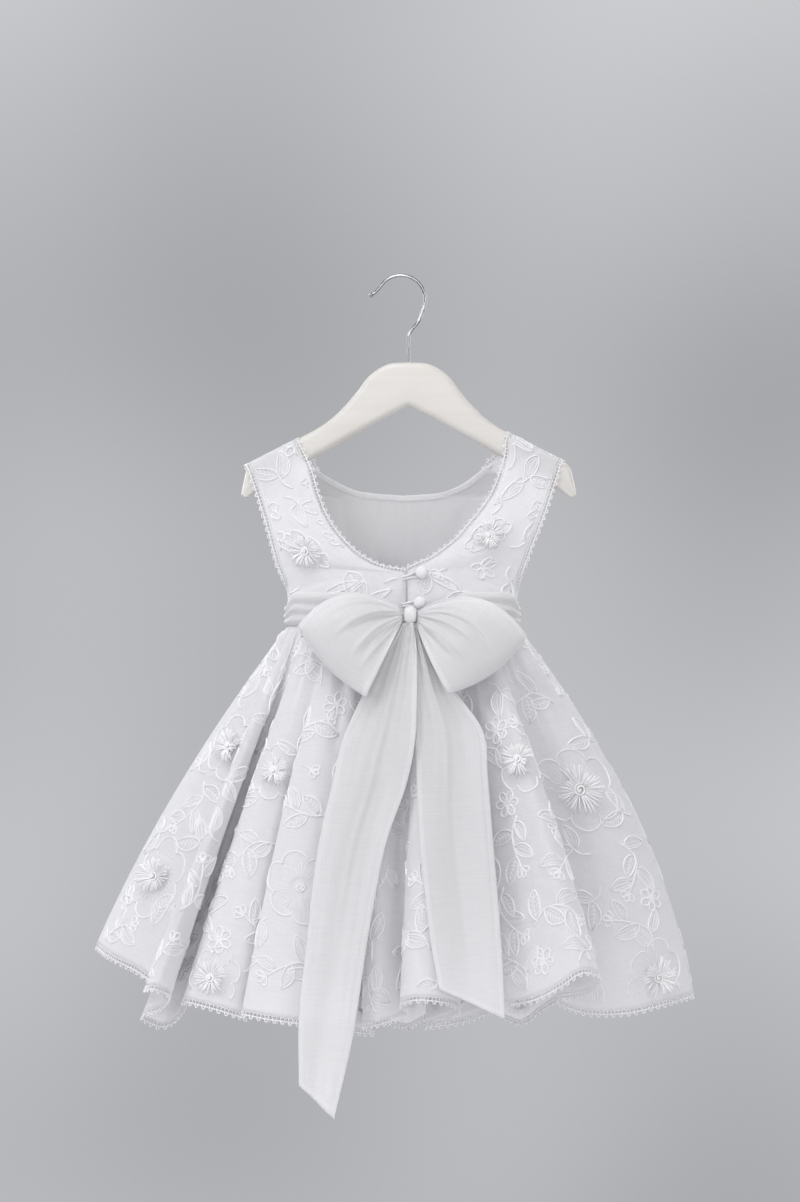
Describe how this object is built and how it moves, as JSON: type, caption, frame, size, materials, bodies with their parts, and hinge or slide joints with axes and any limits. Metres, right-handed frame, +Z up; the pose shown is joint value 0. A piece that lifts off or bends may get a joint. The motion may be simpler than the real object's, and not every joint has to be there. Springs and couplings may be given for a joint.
{
  "type": "christening gown on a hanger",
  "caption": "Sleeveless baby's christening gown with an embroidered gathered skirt, picot lace edges and an organza bow at the back, hanging open on a small wooden hanger with a wire hook.",
  "frame": {"origin": "the inner top of the hook, where a rail carries the hanger", "axes": "+Z up; +X to the right of someone who looks at the gown's back, along the hanger; +Y from the gown's back to its front"},
  "size_m": [0.5431, 0.2426, 0.745],
  "materials": {
    "white_painted_wood": "off-white paint, satin",
    "chromed_wire": "polished",
    "embroidered_cotton": "white cotton voile with corded white embroidery",
    "plain_voile": "plain white cotton voile",
    "picot_lace": "white cotton picot lace",
    "organza": "sheer white organza, soft sheen",
    "fringe_thread": "white cotton thread"
  },
  "bodies": {
    "root": {"bodice_back_left": "embroidered_cotton", "bodice_back_right": "embroidered_cotton", "bodice_front": "embroidered_cotton", "bodice_front_lining": "plain_voile", "bow_knot": "organza", "bow_loop_left": "organza", "bow_loop_right": "organza", "button_loop_lower": "embroidered_cotton", "button_loop_upper": "embroidered_cotton", "button_lower": "embroidered_cotton", "button_upper": "embroidered_cotton", "hanger_body": "white_painted_wood", "hanger_hook": "chromed_wire", "lace_armhole_left": "picot_lace", "lace_armhole_right": "picot_lace", "lace_hem_back": "picot_lace", "lace_hem_front": "picot_lace", "lace_neck_back_left": "picot_lace", "lace_neck_back_right": "picot_lace", "lace_neck_front": "picot_lace", "sash_band": "organza", "sash_tail_left": "organza", "sash_tail_right": "organza", "skirt_back": "embroidered_cotton", "skirt_front": "embroidered_cotton", "tuft_01": "fringe_thread", "tuft_02": "fringe_thread", "tuft_03": "fringe_thread", "tuft_04": "fringe_thread", "tuft_05": "fringe_thread", "tuft_06": "fringe_thread", "tuft_07": "fringe_thread", "tuft_08": "fringe_thread", "tuft_09": "fringe_thread", "tuft_10": "fringe_thread", "tuft_11": "fringe_thread", "tuft_12": "fringe_thread", "tuft_13": "fringe_thread", "tuft_14": "fringe_thread"}
  },
  "joints": []
}
